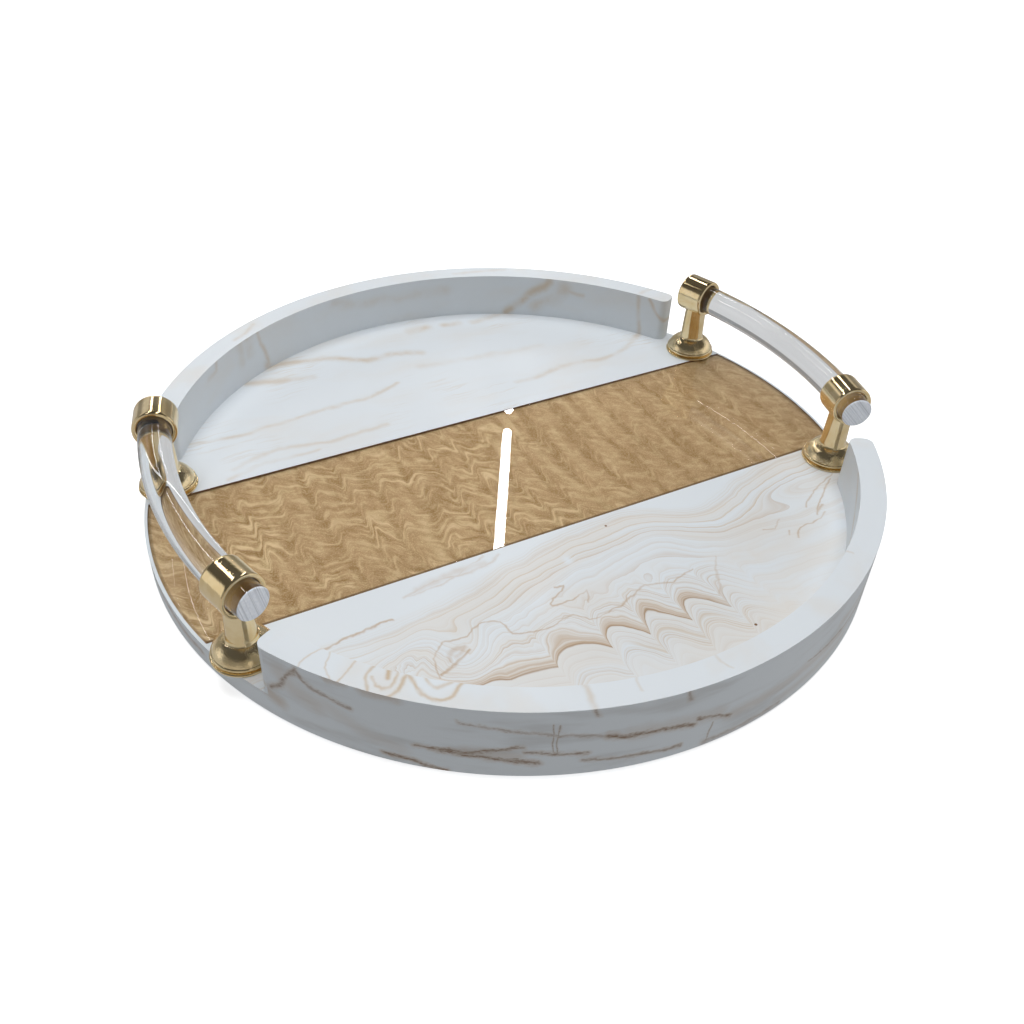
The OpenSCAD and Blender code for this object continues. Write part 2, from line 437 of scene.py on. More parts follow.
FRONT_VEINS = [
    # points, half width, strength
    ([(-72, -52), (-58, -48), (-44, -50), (-30, -46)], 1.0, 0.40),
    ([(-71, -52), (-56, -51), (-44, -47), (-36, -44)], 0.7, 0.35),
    ([(-66, -50), (-50, -47), (-38, -48)], 2.6, 0.30),
    ([(-107.6, -63.4), (-100, -61), (-93, -61), (-87, -59.6), (-81, -60)], 0.7, 0.70),
    ([(-77, -92), (-76, -84), (-70, -78), (-61, -79), (-54, -75), (-47, -78), (-46, -85),
      (-38, -87), (-30, -88), (-22, -86), (-17, -91), (-9, -91), (2, -88), (11, -85), (21, -88),
      (33, -85)], 0.5, 0.55),
    ([(-76, -91), (-70, -89), (-63, -85)], 0.8, 0.70),
    ([(-71, -87), (-69, -83), (-64, -83), (-68, -86)], 1.4, 0.40),
    ([(-21, -71), (-17, -72), (-24, -76), (-26, -79), (-18, -79.5), (-10, -78), (-13, -83)], 0.5, 0.60),
    ([(99.7, -81), (103, -77.7), (106.2, -75.1), (114, -69.3), (121.8, -64.7)], 0.6, 0.60),
    ([(98.4, -75.1), (103.6, -71.2), (114, -66), (124.4, -62.1)], 0.5, 0.45),
    ([(82.8, -88.8), (85.4, -85.5), (90.6, -83.8), (98.4, -83.9), (103.6, -81.6)], 0.5, 0.55),
    ([(80.2, -86.2), (81.5, -84.2)], 0.6, 0.60),
    ([(101, -79.7), (106.2, -77.1)], 0.9, 0.55),
    ([(72.4, -79), (77.6, -80.6), (82.8, -77.1)], 0.5, 0.45),
    ([(45.1, -83.6), (39.3, -92), (33.4, -101.1)], 0.6, 0.30),
]


def front_floor(g, x, y):
    """Fine layers like an agate's, with one bold ribbon folded into waves."""
    level, u, v = front_strata(g, x, y)
    in_layers = g.ramp(level, -60.0, -66.0)
    plain_corner = g.ramp(u, 34.0, 50.0) * g.ramp(v, -76.0, -86.0)
    group = g.ramp(g.noise(u * 0.010, level * 0.10, 1.0, detail=2), 0.34, 0.54)
    dense = g.bump_at(level, -76.0, 13.0) * g.ramp(u, -75.0, -35.0)
    group = g.math("MAXIMUM", 0.7 * group, 1.3 * dense)
    uneven = level + wobble(g, x, y, 0.0, 0.7, 0.05, 16.0)
    thin = layer_lines(g, uneven, 1.3, 1.6, 3.2) * (0.15 + 0.85 * group)
    bold = layer_lines(g, uneven, 3.1, 4.0, 0.7) * (0.35 + 0.65 * group)
    grain = g.noise(u * 0.05, level * 2.2, 2.0, detail=2)
    shown = g.ramp(grain, 0.25, 0.6, 0.5, 1.0) * in_layers * (1.0 - 0.85 * plain_corner)
    haze = g.ramp(g.noise(u * 0.016, level * 0.09, 5.0, detail=2), 0.36, 0.62) * in_layers
    smoke = g.ramp(g.noise(x, y, 8.0, scale=0.045, detail=4), 0.46, 0.68) * plain_corner

    over = level - RIBBON_LEVEL
    ribbon = g.ramp(over, -0.4, 0.3) * g.ramp(over, 0.0, RIBBON_RISE, 1.0, 0.0)
    ribbon = ribbon * between(g, u, -76.0, -66.0, 28.0, 40.0)
    ribbon = ribbon * g.ramp(g.noise(u * 0.03, level * 1.3, 7.0, detail=3), 0.3, 0.6, 0.3, 1.0)
    ribbon_edge = g.bump_at(over, 0.3, 0.7) * between(g, u, -76.0, -66.0, 28.0, 40.0)
    echo = g.bump_at(over, -9.0, 1.8) * between(g, u, -14.0, -4.0, 22.0, 34.0)

    plan = (x, y, 0.0)
    a = shaken(g, x, plan, (1.0, 0.09, 31.0), (0.9, 0.22, 36.0))
    b = shaken(g, y, plan, (1.0, 0.10, 32.0), (0.9, 0.24, 33.0))
    broken = g.ramp(g.noise(x, y, 34.0, scale=0.10, detail=3), 0.3, 0.6, 0.5, 1.0)
    inclusion = g.bump_at(x, -8.0, 3.0) * g.bump_at(y, -60.0, 4.5)
    specks = g.math("MAXIMUM", spot(g, x, y, (16.5, -49.0), 1.0), spot(g, x, y, (35.5, -120.0), 1.1))

    made = g.mix(0.7 * haze, WHITE_RESIN, PEACH)
    made = g.mix(0.8 * smoke, made, PEACH)
    made = g.mix(0.75 * thin * shown, made, TAN)
    made = g.mix(0.68 * bold * shown, made, BROWN)
    made = g.mix(0.45 * echo, made, TAN)
    made = g.mix(0.72 * ribbon, made, BROWN)
    made = g.mix(0.35 * ribbon_edge, made, DARK_BROWN)
    made = painted_veins(g, made, a, b, broken, FRONT_VEINS, BROWN)
    made = g.mix(0.9 * inclusion, made, WHITE_RESIN)
    return g.mix(specks, made, DARK_BROWN)


BACK_VEINS = [
    # points, half width, strength
    ([(-118, 77), (-96, 74), (-60, 77), (-38, 77), (-16, 85)], 1.8, 0.42),
    ([(-106, 50), (-84, 57), (-62, 52), (-34, 55)], 1.8, 0.35),
    ([(-110, 44), (-92, 50), (-70, 48)], 1.6, 0.30),
    ([(36, 61), (62, 64), (96, 64), (118, 77)], 2.2, 0.40),
    ([(-68, 124), (-40, 121), (-22, 109), (-8, 111), (6, 107)], 3.4, 0.60),
    ([(-82, 115), (-66, 109), (-52, 106)], 3.0, 0.50),
    ([(10, 128), (18, 128)], 3.6, 0.60),
    ([(28, 126), (36, 125)], 3.2, 0.55),
    ([(44, 124), (66, 124)], 3.2, 0.65),
    ([(0, 94), (30, 90), (64, 88)], 3.0, 0.20),
]


def back_floor(g, x, y):
    """Almost plain, with long faint veins."""
    plan = (x, y, 0.0)
    u = shaken(g, x, plan, (3.0, 0.04, 41.0))
    v = shaken(g, y, plan, (3.0, 0.04, 42.0), (0.8, 0.2, 43.0))
    cloud = g.ramp(g.noise(x * 0.4, v, 3.0, scale=0.05, detail=3), 0.45, 0.75)
    thread = g.noise(u * 0.012, v * 0.25, 4.0, detail=3, roughness=0.6)
    thread = g.bump_at(thread, 0.52, 0.03) * g.ramp(g.noise(x, y, 6.0, scale=0.02), 0.5, 0.65)
    made = g.mix(0.45 * cloud, WHITE_RESIN, PEACH)
    made = g.mix(0.25 * thread, made, TAN)
    uneven = g.ramp(g.noise(x, y, 7.0, scale=0.07, detail=3), 0.35, 0.6, 0.35, 1.0)
    return painted_veins(g, made, u, v, uneven, BACK_VEINS, TAN)


def resin_floor_material(name, pattern):
    g = Graph(name)
    x, y, z = g.xyz()
    return resin_finish(g, pattern(g, x, y), x, y, z)


WALL_VEINS = [
    # (degrees round from the right, mm up), half width, strength
    ([(214.5, 29), (213, 22), (212.4, 20), (210.2, 14)], 1.3, 0.75),
    ([(214.5, 29), (215.3, 25.5), (216.8, 23), (221.5, 20)], 1.0, 0.6),
    ([(219, 31), (221, 31)], 1.6, 0.8),
    ([(223.5, 31), (227.4, 31)], 2.0, 0.8),
    ([(212, 24), (214, 19), (217, 16)], 3.5, 0.45),
    ([(218, 18), (224, 10), (228, 7)], 2.4, 0.30),
    ([(209, 12), (211, 9)], 2.4, 0.80),
    ([(229.8, 10.5), (236, 10.8), (242.8, 14.5)], 0.9, 0.8),
    ([(232, 10.2), (238, 9.4), (244.4, 6.4)], 1.2, 0.9),
    ([(236, 11.2), (242, 9.6)], 2.0, 0.6),
    ([(243, 11.8), (247, 10.8), (250.5, 10.2)], 1.0, 0.8),
    ([(225.7, 3.2), (228.5, 2.8), (233.7, 0.6)], 1.1, 0.9),
    ([(235, 24.4), (250, 19), (253.5, 17.2)], 0.8, 0.5),
    ([(253, 17.3), (256, 15.8), (259, 15.6), (264.4, 13.2)], 1.4, 0.95),
    ([(264.8, 15.4), (267.5, 13.4), (270, 11)], 1.1, 0.85),
    ([(270, 11.2), (281, 11.6), (293, 11.3)], 2.0, 0.45),
    ([(256, 17), (262, 16), (268, 14.6)], 2.4, 0.45),
    ([(284, 14), (293, 13.2), (301, 13.6)], 0.8, 0.55),
    ([(292, 19), (303, 18)], 1.6, 0.35),
    ([(250, 7), (256, 5.2), (262.7, 3.8)], 0.9, 0.7),
    ([(266.5, 1.8), (279, 2.2)], 1.4, 0.45),
    ([(278, 3.8), (295, 6.4)], 2.0, 0.35),
    ([(246.4, 25), (246.6, 12)], 0.35, 0.6),
    ([(247.2, 24), (247.1, 10)], 0.35, 0.6),
    ([(267.1, 11), (266.9, 1)], 0.4, 0.6),
    ([(251, 31), (251.5, 28)], 1.0, 0.6),
    ([(262.6, 31), (262.9, 26)], 0.8, 0.5),
    # round the back and the far sides
    ([(20, 12), (38, 10), (52, 14)], 1.3, 0.7),
    ([(60, 20), (78, 14), (96, 15), (110, 10)], 1.2, 0.7),
    ([(84, 8), (102, 6), (124, 9)], 1.8, 0.45),
    ([(128, 22), (140, 16), (150, 17)], 1.0, 0.6),
    ([(318, 9), (332, 12), (345, 10)], 1.5, 0.5),
    ([(160, 6), (176, 8), (196, 5)], 1.4, 0.5),
]


def resin_wall_material():
    """Veins drawn out sideways round the outer wall."""
    g = Graph("resin_wall")
    x, y, z = g.xyz()
    degrees = degrees_round(g, x, y)
    arc_mm = math.radians(1) * TRAY_R / MM
    rough = wobble(g, x, y, z * 2.0, 1.1, 0.22, 52.0) + wobble(g, x, y, z * 2.5, 0.6, 0.9, 53.0)
    u = degrees * arc_mm + wobble(g, x, y, z, 2.5, 0.09, 51.0)
    v = z - UNDER_Z / MM + wobble(g, x, y, z, 0.8, 0.05, 54.0) + rough
    crumble = g.ramp(g.noise(degrees * 0.9, z * 1.6, 3.0, detail=4, roughness=0.7), 0.34, 0.56)
    cloud = g.ramp(g.noise(degrees * 0.06, z * 0.12, 6.0, detail=3), 0.48, 0.70)
    base = g.mix(0.4 * cloud, WHITE_RESIN, GREY_VEIN)
    place = g.vector(u, v)
    halo = None
    line = None
    for points, half_width, strength in unrolled(WALL_VEINS, TRAY_R):
        away = path_distance(g, place, points)
        soft = g.ramp(away, 0.0, 2.2 * half_width, strength, 0.0)
        crisp = g.ramp(away, 0.0, half_width, strength if half_width < 1.6 else 0.0, 0.0)
        halo = soft if halo is None else g.math("MAXIMUM", halo, soft)
        line = crisp if line is None else g.math("MAXIMUM", line, crisp)
    base = g.mix(0.50 * halo, base, BROWN)
    base = g.mix(0.85 * line * crumble, base, DARK_BROWN)
    return resin_finish(g, base, x, y, z)


INNER_VEINS = [
    # (degrees round from the right, mm up), half width, strength
    ([(62.8, 10), (59.5, 17), (55, 26), (53.6, 29)], 3.0, 0.65),
    ([(56.5, 15), (52, 21), (50.2, 26)], 4.5, 0.40),
    ([(49.8, 25.4), (46.5, 24.4)], 1.8, 0.35),
    ([(33.8, 29), (33.4, 18), (33.2, 9)], 1.6, 0.40),
    ([(31.4, 29.5), (29.6, 23), (28.2, 20)], 1.3, 0.50),
    ([(120.2, 31), (119.4, 24), (118.4, 18), (118.2, 9)], 1.6, 0.45),
    ([(118.6, 11), (118, 9)], 3.4, 0.45),
    ([(123, 31), (122.6, 22)], 3.6, 0.25),
    ([(125.4, 31), (125, 20)], 3.6, 0.22),
    ([(136, 26.5), (133.4, 27), (133, 31)], 1.8, 0.30),
    ([(101, 29), (96, 25), (86, 23), (76, 24)], 4.0, 0.22),
    ([(200, 20), (212, 12), (224, 15)], 1.8, 0.45),
    ([(248, 24), (262, 17), (280, 19)], 2.0, 0.40),
    ([(300, 12), (316, 22), (322, 30)], 1.8, 0.45),
]


RIM_TOP_VEINS = [
    # points in plan, half width, strength
    ([(-108, -108), (-107, -102), (-105, -98), (-100, -95)], 0.8, 0.65),
    ([(-104, -100), (-104.5, -104), (-101, -106.5), (-97, -103), (-95, -99)], 0.8, 0.60),
    ([(-98.3, -100), (-100, -102.5)], 1.2, 1.0),
    ([(-104, -109.5), (-99, -108.5), (-95.5, -105), (-94, -104.5), (-93.5, -108), (-93, -113),
      (-91, -116.5), (-88, -118), (-85, -118), (-82, -115.3), (-79.5, -114)], 1.0, 0.75),
    ([(-89.5, -106), (-89.5, -111), (-88, -113), (-84, -113), (-80, -112)], 0.9, 0.55),
    ([(-123, -86), (-120, -83.5), (-115, -82), (-111, -83)], 0.5, 0.45),
    ([(-116, -95), (-115.5, -90), (-113, -86.5), (-111, -83)], 0.5, 0.45),
    ([(-114, -97), (-110, -94.5), (-104, -90)], 0.6, 0.60),
    ([(-47, -130), (-47.5, -135), (-49, -142)], 1.6, 0.40),
    ([(-31, -137), (-32.5, -142)], 0.8, 0.25),
    ([(-3, -139), (-3, -143), (-1, -147)], 0.6, 0.30),
    ([(70, -118), (73, -122)], 0.8, 0.30),
    ([(-82, 118), (-76, 122), (-70, 129)], 1.6, 0.30),
    ([(118, 80), (126, 82), (134, 78)], 2.0, 0.25),
    ([(40, 138), (52, 136), (66, 132)], 2.0, 0.25),
]


def resin_top_material():
    """The rims' flat tops: nearly plain, with loops of vein at the front left."""
    g = Graph("resin_top")
    x, y, z = g.xyz()
    u = shaken(g, x, (x, y, 0.0), (0.8, 0.22, 64.0))
    v = shaken(g, y, (x, y, 0.0), (0.8, 0.22, 65.0))
    cloud = g.ramp(g.noise(x, y, 66.0, scale=0.04, detail=3), 0.46, 0.70)
    base = g.mix(0.5 * cloud, WHITE_RESIN, PEACH)
    uneven = g.ramp(g.noise(x, y, 67.0, scale=0.15, detail=3), 0.3, 0.6, 0.5, 1.0)
    return resin_finish(g, painted_veins(g, base, u, v, uneven, RIM_TOP_VEINS, TAN), x, y, z)


def resin_rim_material():
    """The rim's ends and inner wall, and the underside: nearly plain, with soft smears."""
    g = Graph("resin_rim")
    x, y, z = g.xyz()
    degrees = degrees_round(g, x, y)
    arc_mm = math.radians(1) * RIM_INNER_R / MM
    u = degrees * arc_mm + wobble(g, x, y, z, 2.0, 0.07, 61.0)
    v = z - UNDER_Z / MM + wobble(g, x, y, z, 1.5, 0.07, 62.0)
    cloud = g.ramp(g.noise(degrees * 0.05, z * 0.05, 6.0, detail=3), 0.48, 0.72)
    base = g.mix(0.35 * cloud, WHITE_RESIN, PEACH)
    rows = unrolled(INNER_VEINS, RIM_INNER_R)
    uneven = g.ramp(g.noise(x, y, z, scale=0.12, detail=3), 0.35, 0.6, 0.45, 1.0)
    return resin_finish(g, painted_veins(g, base, u, v, uneven, rows, TAN), x, y, z)


def resin_edge_material():
    """The recess wall, which the pearl pour has stained."""
    g = Graph("resin_edge")
    x, y, z = g.xyz()
    patch = g.noise(x, y, z, scale=0.3, detail=2)
    g.principled(
        Base_Color=g.mix(g.ramp(patch, 0.3, 0.7), colour(118, 88, 56), colour(142, 112, 78)),
        Roughness=0.4,
    )
    return g.material


PEARL_BASE = colour(182, 154, 115)
PEARL_LIGHT = colour(229, 210, 168)
PEARL_DARK = colour(140, 109, 60)
PEARL_EDGE = colour(96, 70, 42)
PEARL_PITCH = 13.5  # mm from one column of waves to the next


def pearl_material():
    """Mica filaments combed into columns of waves, clearest towards the left."""
    g = Graph("pearl_pour")
    x, y, z = g.xyz()
    lean = wobble(g, x, y * 0.6, 0.0, 6.0, 0.035, 71.0) + wobble(g, x, y, 0.0, 1.6, 0.09, 72.0)
    turn = (x + lean) * (2 * math.pi / PEARL_PITCH)
    wave = g.math("SINE", turn + 0.7 * g.math("SINE", turn))
    swing = g.ramp(g.noise(x, y, 75.0, scale=0.03, detail=1), 0.3, 0.7, 2.2, 5.0)
    drift = wobble(g, x, y, 0.0, 6.0, 0.045, 73.0) + wobble(g, x, y, 0.0, 1.4, 0.12, 74.0)
    filament_y = y + drift - swing * wave
    filament = g.noise((x + lean) * 0.07, filament_y * 0.29, 2.0, detail=4, roughness=0.55)
    clear_side = g.ramp(x, 50.0, -20.0, 0.40, 1.0)
    patchy = g.ramp(g.noise(x, y, 33.0, scale=0.05, detail=2), 0.35, 0.65, 0.45, 1.0)
    light = g.ramp(filament, 0.50, 0.64) * clear_side * patchy
    dark = g.ramp(filament, 0.50, 0.38) * clear_side * patchy
    comb = g.noise((x + 0.5 * lean) * 0.14, y * 0.02, 21.0, detail=3, roughness=0.55)
    comb_light = g.ramp(comb, 0.52, 0.70)
    comb_dark = g.ramp(comb, 0.48, 0.34)
    torn = g.ramp(g.noise(x, y, 35.0, scale=0.16, detail=3), 0.35, 0.65, 0.25, 1.0)
    trough = g.ramp(wave, -0.30, -0.98) * torn
    wisp = g.noise((x + lean) * 0.16, filament_y * 0.22, 44.0, detail=5, roughness=0.7)
    mottle = g.noise(x, y, 46.0, scale=0.22, detail=4, roughness=0.65)
    mica = g.noise(x, y, z, scale=1.6, detail=2)
    from_middle = g.math("ABSOLUTE", y - 0.6)
    side_edge = g.ramp(from_middle, BAND_HALF / MM - 1.6, BAND_HALF / MM - 0.8)
    end_edge = g.ramp((x * x + y * y) ** 0.5, BAND_END / MM - 1.6, BAND_END / MM - 0.8)
    base = g.mix(0.70 * dark, PEARL_BASE, PEARL_DARK)
    base = g.mix(0.45 * comb_dark, base, PEARL_DARK)
    base = g.mix(0.60 * trough, base, PEARL_DARK)
    base = g.mix(0.40 * g.ramp(wisp, 0.50, 0.34), base, PEARL_DARK)
    base = g.mix(0.40 * g.ramp(wisp, 0.54, 0.70), base, PEARL_LIGHT)
    base = g.mix(0.25 * comb_light, base, PEARL_LIGHT)
    base = g.mix(0.72 * light, base, PEARL_LIGHT)
    base = g.mix(0.30 * g.ramp(mottle, 0.52, 0.70), base, PEARL_LIGHT)
    base = g.mix(0.30 * g.ramp(mottle, 0.48, 0.32), base, PEARL_DARK)
    base = g.mix(0.40 * g.ramp(mica, 0.45, 0.75), base, PEARL_LIGHT)
    base = g.mix(0.85 * side_edge, base, PEARL_EDGE)
    base = g.mix(0.45 * end_edge, base, PEARL_EDGE)
    g.principled(
        Base_Color=base,
        Metallic=0.3,
        Roughness=0.45,
        Normal=g.bump(filament, 0.25 * MM, 0.3),
    )
    return g.material


def clear_resin_material():
    g = Graph("clear_resin")
    x, y, z = g.xyz()
    ripple = g.noise(x, y, z, scale=0.03, detail=1)
    shader = g.principled(
        Base_Color=(0.97, 0.95, 0.92, 1.0),
        Roughness=0.01,
        IOR=1.5,
        Transmission_Weight=1.0,
        Normal=g.bump(ripple, 0.2 * MM, 0.05),
    )
    g.lets_lamps_through(shader, (0.95, 0.93, 0.9))
    return g.material


def acrylic_material():
    g = Graph("acrylic")
    x, y, z = g.xyz()
    haze = g.noise(x, y, z, scale=0.5, detail=2)
    shader = g.principled(
        Base_Color=(0.97, 0.985, 1.0, 1.0),
        Roughness=g.ramp(haze, 0.4, 0.8, 0.0, 0.03),
        IOR=1.49,
        Transmission_Weight=1.0,
    )
    g.lets_lamps_through(shader, (0.92, 0.94, 0.96))
    return g.material


def sawn_acrylic_material():
    """The rod's cut end, frosted and scored by the saw, lightened by a faint painted glow."""
    g = Graph("sawn_acrylic")
    x, y, z = g.xyz()
    across = x * 0.75 + z * g.ramp(x, -1.0, 1.0, 0.15, 0.65)
    score = g.noise(across, 0.03 * y, 0.0, scale=1.1, detail=5, roughness=0.75)
    frost = g.noise(x, y, z, scale=1.2, detail=3)
    shade = g.mix(g.ramp(score, 0.34, 0.56), colour(164, 168, 176), colour(236, 239, 245))
    g.principled(
        Base_Color=g.mix(0.5 * g.ramp(frost, 0.35, 0.65), shade, colour(206, 212, 222)),
        # A faint painted glow: the emission lightens the cut end, which the overhead lamps hardly reach
        Emission_Color=(*colour(225, 230, 238), 1.0),
        Emission_Strength=0.10,
        Roughness=0.55,
        Normal=g.bump(score, 0.3 * MM, 0.6),
    )
    return g.material


def brass_material(name, peel_scale, peel_strength):
    g = Graph(name)
    x, y, z = g.xyz()
    cloud = g.noise(x, y, z, scale=0.12, detail=2)
    orange_peel = g.noise(x, y, z, scale=peel_scale, detail=3, roughness=0.7)
    g.principled(
        Base_Color=g.mix(g.ramp(cloud, 0.3, 0.7), colour(230, 205, 156), colour(240, 220, 178)),
        Metallic=1.0,
        Roughness=g.ramp(cloud, 0.3, 0.7, 0.05, 0.11),
        Normal=g.bump(orange_peel, peel_strength * MM),
    )
    return g.material


def grained_material(name, scale, detail, dark, light, depth, strength, **finish):
    """One shade with a fine grain that shows in its colour and its surface."""
    g = Graph(name)
    x, y, z = g.xyz()
    grain = g.noise(x, y, z, scale=scale, detail=detail)
    g.principled(
        Base_Color=g.mix(grain, dark, light),
        Normal=g.bump(grain, depth, strength),
        **finish,
    )
    return g.material


def steel_material(name, shade, roughness):
    g = Graph(name)
    x, y, z = g.xyz()
    grain = g.noise(x, y, z, scale=2.5, detail=2)
    g.principled(
        Base_Color=g.mix(grain, tuple(0.85 * c for c in shade), shade),
        Metallic=1.0,
        Roughness=g.ramp(grain, 0.3, 0.7, roughness, roughness + 0.15),
        Normal=g.bump(grain, 0.03 * MM, 0.5),
    )
    return g.material


FRONT_RESIN = resin_floor_material("resin_front_floor", front_floor)
BACK_RESIN = resin_floor_material("resin_back_floor", back_floor)
RESIN_WALL = resin_wall_material()
RESIN_RIM = resin_rim_material()
RESIN_TOP = resin_top_material()
RESIN_EDGE = resin_edge_material()
PEARL = pearl_material()
CLEAR_RESIN = clear_resin_material()
ACRYLIC = acrylic_material()
SAWN_ACRYLIC = sawn_acrylic_material()
BRASS = brass_material("polished_brass", 0.9, 0.035)
CAST_BRASS = brass_material("cast_brass", 0.8, 0.16)
# The collars' bores: rougher unpolished brass, with a darker colour that is painted shade inside the
# bore
RAW_BRASS_PAINTED_SHADE = grained_material(
    "raw_brass_painted_shade", 1.5, 3, colour(150, 116, 68), colour(196, 162, 104), 0.05 * MM, 0.5,
    Metallic=0.9, Roughness=0.38,
)
STEEL = steel_material("zinc_steel", colour(176, 178, 180), 0.28)
DARK_STEEL = steel_material("black_steel", colour(62, 62, 64), 0.35)
RUBBER = grained_material(
    "bumper_rubber", 1.2, 3, colour(196, 199, 202), colour(214, 216, 219), 0.05 * MM, 0.4,
    Roughness=0.5, Subsurface_Weight=0.2, Subsurface_Radius=(1 * MM, 1 * MM, 1 * MM),
)


# ---------------------------------------------------------------- mesh tools

def arc(centre, radius, start, end, steps):
    """Plan points along an arc, with both ends included."""
    turns = [start + (end - start) * i / steps for i in range(steps + 1)]
    return [(centre[0] + radius * math.cos(a), centre[1] + radius * math.sin(a)) for a in turns]


def polar(radius, angle):
    return (radius * math.cos(angle), radius * math.sin(angle))


def bent(start, corner, end, steps):
    """Points of a smooth curve from start to end that heads for the corner first."""
    shares = [i / steps for i in range(steps + 1)]
    return [tuple(start * (1 - t) ** 2 + corner * 2 * t * (1 - t) + end * t ** 2) for t in shares]


def new_object(name, bm, materials):
    """Puts the finished bmesh into the scene as an object."""
    mesh = bpy.data.meshes.new(name)
    bm.to_mesh(mesh)
    bm.free()
    for material in materials:
        mesh.materials.append(material)
    made = bpy.data.objects.new(name, mesh)
    bpy.context.scene.collection.objects.link(made)
    return made


def facing_out(name, bm, materials):
    """The same, once every face has been turned to look outwards."""
    bmesh.ops.recalc_face_normals(bm, faces=bm.faces)
    return new_object(name, bm, materials)


def settle(made):
    """Replaces the object's mesh with what its modifiers make of it."""
    graph = bpy.context.evaluated_depsgraph_get()
    settled = bpy.data.meshes.new_from_object(made.evaluated_get(graph))
    made.modifiers.clear()
    made.data = settled


def smooth(made, sharp_angle=40):
    """Smooth shading whose normals follow the big flat faces, with sharp edges kept."""
    for polygon in made.data.polygons:
        polygon.use_smooth = True
    made.data.set_sharp_from_angle(angle=math.radians(sharp_angle))
    weigh = made.modifiers.new("weigh", "WEIGHTED_NORMAL")
    weigh.keep_sharp = True
    settle(made)


def lathe(bm, profile, steps, place, closed=True, capped=True, bore_r=0.0):
    """Turns a profile of (radius, height) points about the local Z axis.

    A profile that isn't closed gets a flat cap at each end, unless capped is off.
    Faces no farther out than bore_r take the second material.
    """
    rings = []
    for i in range(steps):
        turn = 2 * math.pi * i / steps
        rings.append([
            bm.verts.new(place @ Vector((*polar(radius, turn), height)))
            for radius, height in profile
        ])
    count = len(profile)
    spans = count if closed else count - 1
    for i, ring in enumerate(rings):
        following = rings[(i + 1) % steps]
        for j in range(spans):
            k = (j + 1) % count
            face = bm.faces.new((ring[j], following[j], following[k], ring[k]))
            face.material_index = int(max(profile[j][0], profile[k][0]) < bore_r)
    if capped and not closed:
        bm.faces.new([ring[0] for ring in reversed(rings)])
        bm.faces.new([ring[-1] for ring in rings])


def lathed(name, profile, place, materials, steps=96, sharp_angle=40, bore_r=0.0):
    bm = bmesh.new()
    lathe(bm, profile, steps, place, bore_r=bore_r)
    made = facing_out(name, bm, materials)
    smooth(made, sharp_angle)
    return made


# ---------------------------------------------------------------- tray

ARC_STEPS = 120
GAP_STEPS = 24
CORNER_STEPS = 8
BEVEL = 2.0 * MM
UNDER_EDGE_SHARE = 0.5
FLOOR_EDGE_SHARE = 0.6
SHARP_TURN = math.radians(30)
FLOOR_EDGE = ("mid", "gap", "outer", "far_gap")
BACK_FACE, FRONT_FACE, WALL_FACE, RIM_FACE, TOP_FACE, EDGE_FACE = range(6)


def rim_end():
    """Plan points round the right end of the back rim, from its outer wall to its inner wall."""
    outer_r = TRAY_R - RIM_CORNER_R
    inner_r = RIM_INNER_R + RIM_CORNER_R
    outer_turn = RIM_GAP_ANGLE + math.asin(RIM_CORNER_R / outer_r)
    inner_turn = RIM_GAP_ANGLE + math.asin(RIM_CORNER_R / inner_r)
    across = RIM_GAP_ANGLE - math.pi / 2
    first = arc(polar(outer_r, outer_turn), RIM_CORNER_R, outer_turn, across, CORNER_STEPS)
    second = arc(polar(inner_r, inner_turn), RIM_CORNER_R, across, inner_turn - math.pi, CORNER_STEPS)
    return outer_turn, inner_turn, first[1:] + second[:-1]


def tray_half(bm, turned):
    """Vertices of one rim and the floor edge round it; turned is -1 for the front half."""
    outer_turn, inner_turn, end = rim_end()
    other_end = [(-x, y) for x, y in end]
    plans = {
        "mid": [(TRAY_R, 0.0)],
        "gap": arc((0, 0), TRAY_R, 0, outer_turn, GAP_STEPS)[1:-1],
        "outer": arc((0, 0), TRAY_R, outer_turn, math.pi - outer_turn, ARC_STEPS),
        "far_gap": arc((0, 0), TRAY_R, math.pi - outer_turn, math.pi, GAP_STEPS)[1:-1],
        "end": end,
        "far_end": other_end,
        "inner": arc((0, 0), RIM_INNER_R, inner_turn, math.pi - inner_turn, ARC_STEPS),
    }
    corner_turn = math.asin(BAND_HALF / BAND_END)
    plans["recess"] = (
        arc((0, 0), BAND_END, 0, corner_turn, GAP_STEPS)
        + arc((0, 0), BAND_END, math.pi - corner_turn, math.pi, GAP_STEPS)[:-1]
    )

    def ring(name, height):
        return [bm.verts.new((turned * x, turned * y, height)) for x, y in plans[name]]

    half = {name: ring(name, FLOOR_Z) for name in plans}
    for name in ("outer", "end", "far_end", "inner"):
        half["top_" + name] = ring(name, RIM_Z)
    for name in FLOOR_EDGE:
        half["under_" + name] = ring(name, UNDER_Z)
    half["deep_recess"] = ring("recess", RECESS_Z)
    return half


def wall(bm, low, high, closed, material):
    """Quads between two matching rows of vertices."""
    count = len(low) if closed else len(low) - 1
    for i in range(count):
        j = (i + 1) % len(low)
        bm.faces.new((low[i], low[j], high[j], high[i])).material_index = material


def rim_loop(half, prefix):
    """The rim's outline, counter-clockwise from the outer wall's first point."""
    return (
        half[prefix + "outer"] + half[prefix + "far_end"]
        + half[prefix + "inner"][::-1] + half[prefix + "end"][::-1]
    )


def screw_pockets():
    """A cutter for the four screw holes and the pockets for their heads."""
    bm = bmesh.new()
    past = 1 * MM
    for side in SIDES:
        for end in ENDS:
            post = middle(f"rosette_{end}_{side}")
            profile = [
                (POCKET_R, UNDER_Z - past), (POCKET_R, UNDER_Z + POCKET_DEPTH),
                (SCREW_HOLE_R, UNDER_Z + POCKET_DEPTH), (SCREW_HOLE_R, FLOOR_Z + past),
            ]
            lathe(bm, profile, 48, Matrix.Translation((post.x, post.y, 0)), closed=False)
    return facing_out("pockets", bm, [])


